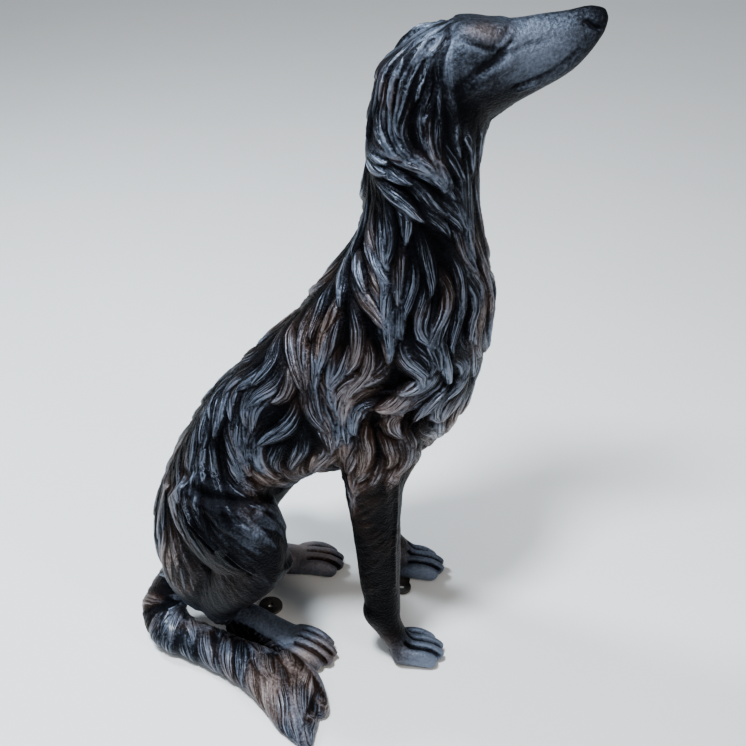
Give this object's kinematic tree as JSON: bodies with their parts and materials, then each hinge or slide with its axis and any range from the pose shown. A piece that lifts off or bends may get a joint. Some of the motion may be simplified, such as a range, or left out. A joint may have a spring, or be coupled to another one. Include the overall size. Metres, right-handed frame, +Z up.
{
  "type": "cast aluminium dog statue",
  "caption": "Seated long-haired sighthound statue, one hollow metal casting with carved coat, plumed tail laid along the ground and bolt-down lugs at the feet.",
  "frame": {"origin": "on the ground, under the middle of the statue's bounding box", "axes": "+Z up, +X the way the dog faces, +Y to the dog's left"},
  "size_m": [0.6532, 0.434, 0.9988],
  "materials": {
    "bronzed_aluminium": "dark bronze patina, satin, rubbed brown and blue-grey on the raised hair"
  },
  "bodies": {
    "root": {"dog_statue_casting": "bronzed_aluminium"}
  },
  "joints": []
}
